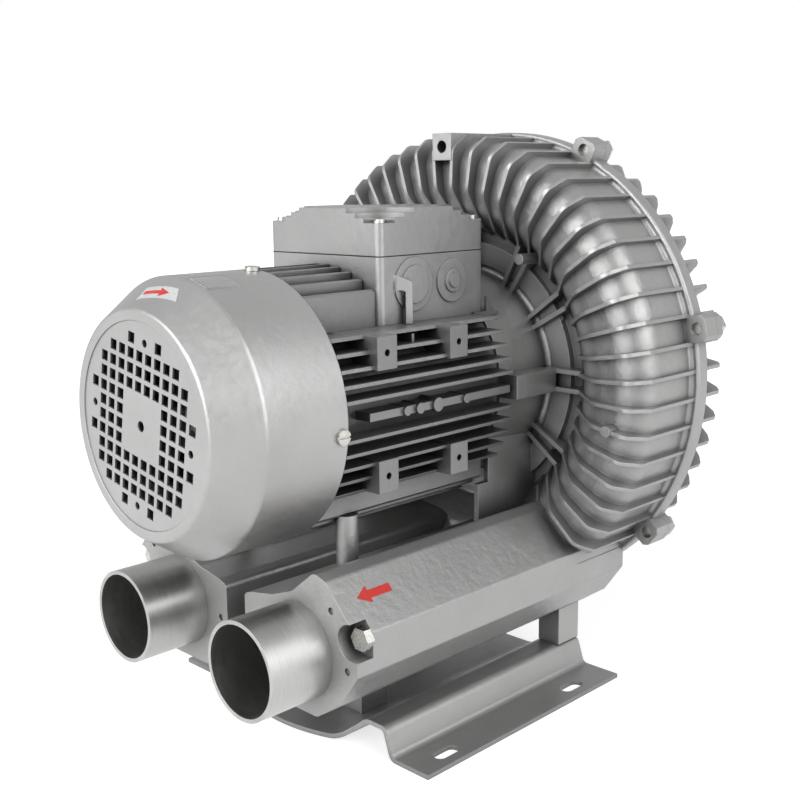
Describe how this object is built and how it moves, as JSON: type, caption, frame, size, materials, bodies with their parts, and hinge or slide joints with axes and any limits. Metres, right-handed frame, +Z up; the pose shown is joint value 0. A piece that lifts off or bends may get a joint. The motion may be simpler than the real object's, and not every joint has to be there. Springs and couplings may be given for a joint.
{
  "type": "side-channel vacuum blower",
  "caption": "Fan-cooled electric side-channel blower with a finned round housing, hose pipes and a bolt-down base.",
  "frame": {"origin": "middle of the rectangle round the part, on the plane of the base bracket's feet", "axes": "+X to the right seen from the fan cowl, +Y from the cowl towards the rear cover along the shaft, +Z up"},
  "size_m": [0.3522, 0.3866, 0.3845],
  "materials": {
    "cast_silver": "satin silver paint on cast aluminium",
    "motor_silver": "satin silver paint on finned aluminium",
    "cowl_paint": "satin silver paint on pressed aluminium sheet",
    "box_paint": "satin silver paint on die-cast aluminium",
    "bracket_paint": "satin silver paint on bent steel sheet",
    "pipe_aluminium": "brushed",
    "bare_aluminium": "as cast",
    "zinc": "zinc plated",
    "spring_steel": "oiled",
    "bearing_steel": "ground and polished",
    "shaft_steel": "turned",
    "lamination_steel": "stacked laminations",
    "copper_wire": null,
    "seal_rubber": "matte",
    "gasket_paper": "pressed fibre sheet",
    "foam": "open-cell sound foam",
    "fan_plastic": "moulded",
    "block_plastic": "moulded",
    "brass_studs": "bare",
    "label_film": "printed film, used by the labels alone",
    "red_film": "printed film, used by the arrows alone"
  },
  "bodies": {
    "housing": {"fan_cowl": "cowl_paint", "cowl_screws": "zinc", "fan_end_shield": "cast_silver", "wave_washer": "spring_steel", "fan_bearing_outer_race": "bearing_steel", "drive_bearing_outer_race": "bearing_steel", "motor_frame": "motor_silver", "stator_core": "lamination_steel", "stator_windings": "copper_wire", "front_housing": "cast_silver", "shaft_seal": "seal_rubber", "housing_gasket": "gasket_paper", "rear_cover": "cast_silver", "housing_screws": "zinc", "outlet_silencer": "cast_silver", "inlet_silencer": "cast_silver", "outlet_pipe": "pipe_aluminium", "inlet_pipe": "pipe_aluminium", "outlet_foam_sleeve": "foam", "inlet_foam_sleeve": "foam", "silencer_bolts": "zinc", "support_pillars": "cast_silver", "front_feet": "cast_silver", "base_bracket": "bracket_paint", "bracket_bolts": "zinc", "terminal_box_base": "box_paint", "box_screws": "zinc", "lid_gasket": "seal_rubber", "terminal_box_lid": "box_paint", "lid_screws": "zinc", "terminal_block": "block_plastic", "terminal_studs": "brass_studs"},
    "rotor": {"motor_shaft": "shaft_steel", "rotor_core": "lamination_steel", "fan_bearing_inner_race": "bearing_steel", "fan_bearing_balls": "bearing_steel", "fan_bearing_cage": "spring_steel", "drive_bearing_inner_race": "bearing_steel", "drive_bearing_balls": "bearing_steel", "drive_bearing_cage": "spring_steel", "cooling_fan": "fan_plastic", "fan_clip": "spring_steel", "impeller": "bare_aluminium", "impeller_key": "shaft_steel", "impeller_washer": "zinc", "impeller_bolt": "zinc"}
  },
  "joints": [
    {"name": "rotor_spin", "type": "hinge", "parent": "housing", "child": "rotor", "pos_m": [0, 0, 0.215], "axis": [0, 1, 0], "continuous": true}
  ]
}
